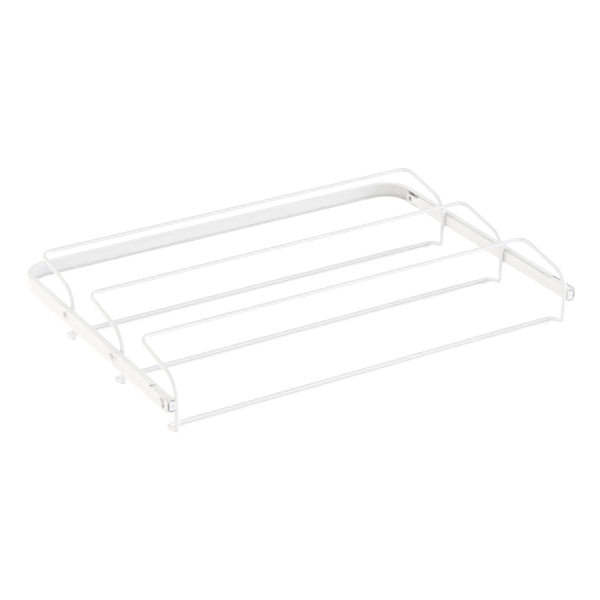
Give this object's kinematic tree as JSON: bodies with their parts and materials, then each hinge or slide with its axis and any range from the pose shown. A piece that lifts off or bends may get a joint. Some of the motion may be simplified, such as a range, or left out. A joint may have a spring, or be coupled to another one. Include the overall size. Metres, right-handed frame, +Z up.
{
  "type": "sliding shoe rack",
  "caption": "Pull-out shoe rack of sloping wire loops on ball-bearing slides, inside a U-shaped channel frame that hangs between brackets by headed studs.",
  "frame": {"origin": "middle of the whole part's footprint, on the surface that the lower bars rest on", "axes": "+X to the right seen from the open front, +Y to the back of the band, +Z up"},
  "size_m": [0.5698, 0.3956, 0.0896],
  "materials": {
    "frame_coat": "white powder coat, satin",
    "slide_coat": "white powder coat on rolled steel, satin",
    "stud_coat": "white powder coat, satin",
    "wire_coat": "white powder coat on round wire, satin",
    "plug_plastic": "moulded white plastic",
    "buffer_rubber": "pale grey rubber",
    "cage_steel": "zinc-plated strip",
    "ball_steel": "polished, lightly greased"
  },
  "bodies": {
    "frame": {"frame_band": "frame_coat", "left_outer_race": "slide_coat", "right_outer_race": "slide_coat", "left_front_stud": "stud_coat", "left_middle_stud": "stud_coat", "left_rear_stud": "stud_coat", "right_front_stud": "stud_coat", "right_middle_stud": "stud_coat", "right_rear_stud": "stud_coat", "left_rear_buffer": "buffer_rubber", "right_rear_buffer": "buffer_rubber"},
    "left_cage": {"left_ball_cage": "cage_steel", "left_balls": "ball_steel"},
    "right_cage": {"right_ball_cage": "cage_steel", "right_balls": "ball_steel"},
    "tray": {"left_runner": "slide_coat", "right_runner": "slide_coat", "left_runner_plug": "plug_plastic", "right_runner_plug": "plug_plastic", "front_rack": "wire_coat", "middle_rack": "wire_coat", "rear_rack": "wire_coat"}
  },
  "joints": [
    {"name": "tray_slide", "type": "slide", "parent": "frame", "child": "tray", "axis": [0, -1, 0], "range_m": [0, 0.26]},
    {"name": "left_cage_slide", "type": "slide", "parent": "frame", "child": "left_cage", "axis": [0, -1, 0], "range_m": [0, 0.13]},
    {"name": "right_cage_slide", "type": "slide", "parent": "frame", "child": "right_cage", "axis": [0, -1, 0], "range_m": [0, 0.13]}
  ],
  "couplings": [
    {"joint": "left_cage_slide", "follows": "tray_slide", "ratio": 0.5},
    {"joint": "right_cage_slide", "follows": "tray_slide", "ratio": 0.5}
  ]
}
